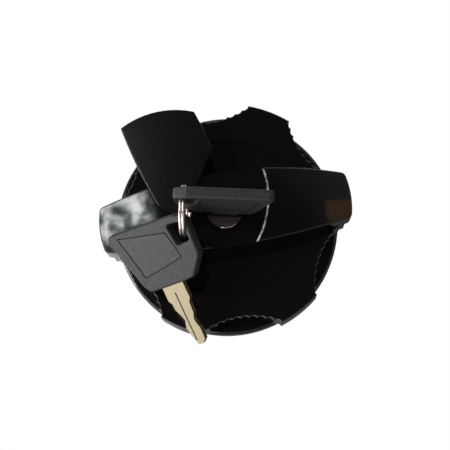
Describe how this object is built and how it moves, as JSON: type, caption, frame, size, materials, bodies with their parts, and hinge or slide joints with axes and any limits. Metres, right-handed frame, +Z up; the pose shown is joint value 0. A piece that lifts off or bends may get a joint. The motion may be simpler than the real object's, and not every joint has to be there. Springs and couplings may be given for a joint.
{
  "type": "fuel filler cap",
  "caption": "Locking bayonet fuel filler cap with a star grip, a bar handle, a swivelling lock cover and ringed keys.",
  "frame": {"origin": "centre of the flat bottom of the neck spigot, on the cap's axis", "axes": "+Z up along the cap's axis, out of the filler neck; +X along the bar handle, away from the lock cover's pivot; +Y towards the side the lock cover swings out to"},
  "size_m": [0.0876, 0.0838, 0.0787],
  "materials": {
    "cap_plastic": "semi-gloss moulded black",
    "hub_plastic": "satin moulded black",
    "cover_plastic": "fine-grained satin black",
    "lock_chrome": "plated zinc",
    "zinc": "zinc plated steel",
    "spring_steel": "spring steel",
    "nickel": "nickel plated wire",
    "wafer_brass": "stamped brass",
    "seal_rubber": "matt black rubber",
    "key_plastic": "fine-grained dark grey",
    "inlay_plastic": "fine-grained mid grey",
    "key_brass": "pale nickel-brass"
  },
  "bodies": {
    "cap": {"cap_body": "cap_plastic", "base_flange": "cap_plastic", "body_screws": "zinc", "insert_hub": "hub_plastic", "bayonet_plate": "zinc", "hub_cover": "hub_plastic", "cup_screws": "zinc", "vent_valve": "seal_rubber", "plate_circlip": "spring_steel", "pressure_spring": "spring_steel", "lock_housing": "lock_chrome"},
    "plug": {"lock_plug": "lock_chrome", "plug_clip": "spring_steel", "lock_cam": "zinc", "cam_screw": "zinc", "wafer_1": "wafer_brass", "wafer_2": "wafer_brass", "wafer_3": "wafer_brass", "wafer_4": "wafer_brass", "wafer_5": "wafer_brass"},
    "seal": {"gasket": "seal_rubber", "pressure_plate": "hub_plastic"},
    "cover": {"lock_cover": "cover_plastic", "cover_washer": "spring_steel", "cover_screw": "zinc"},
    "key": {"key_blade": "key_brass", "key_head": "key_plastic", "key_inlay_front": "inlay_plastic", "key_inlay_back": "inlay_plastic"},
    "ring": {"split_ring": "nickel"},
    "twin": {"twin_blade": "key_brass", "twin_head": "key_plastic", "twin_inlay_front": "inlay_plastic", "twin_inlay_back": "inlay_plastic"}
  },
  "joints": [
    {"name": "key_turn", "type": "hinge", "parent": "cap", "child": "plug", "pos_m": [0, 0, 0.0533], "axis": [0, 0, 1], "range_deg": [0, 90]},
    {"name": "key_pull", "type": "slide", "parent": "plug", "child": "key", "axis": [0, 0, 1], "range_m": [0, 0.06]},
    {"name": "cover_swing", "type": "hinge", "parent": "cap", "child": "cover", "pos_m": [-0.0164, 0.0062, 0.0533], "axis": [0, 0, 1], "range_deg": [-107.5, 0]},
    {"name": "seal_press", "type": "slide", "parent": "cap", "child": "seal", "axis": [0, 0, 1], "range_m": [0, 0.0025], "stiffness_N_per_m": 4000, "springref_m": -0.002, "deforming": ["pressure_spring"]},
    {"name": "ring_swing", "type": "hinge", "parent": "key", "child": "ring", "pos_m": [-0.0147, 0.00299, 0.0703], "axis": [0.1994, 0.9799, 0], "range_deg": [0, 80]},
    {"name": "twin_swing", "type": "hinge", "parent": "ring", "child": "twin", "pos_m": [-0.01498, -0.00962, 0.06666], "axis": [-0.4894, -0.3959, 0.777], "range_deg": [-30, 0]}
  ],
  "couplings": [
    {"joint": "cover_swing", "follows": "key_pull", "rad_per_m": -31.27}
  ]
}
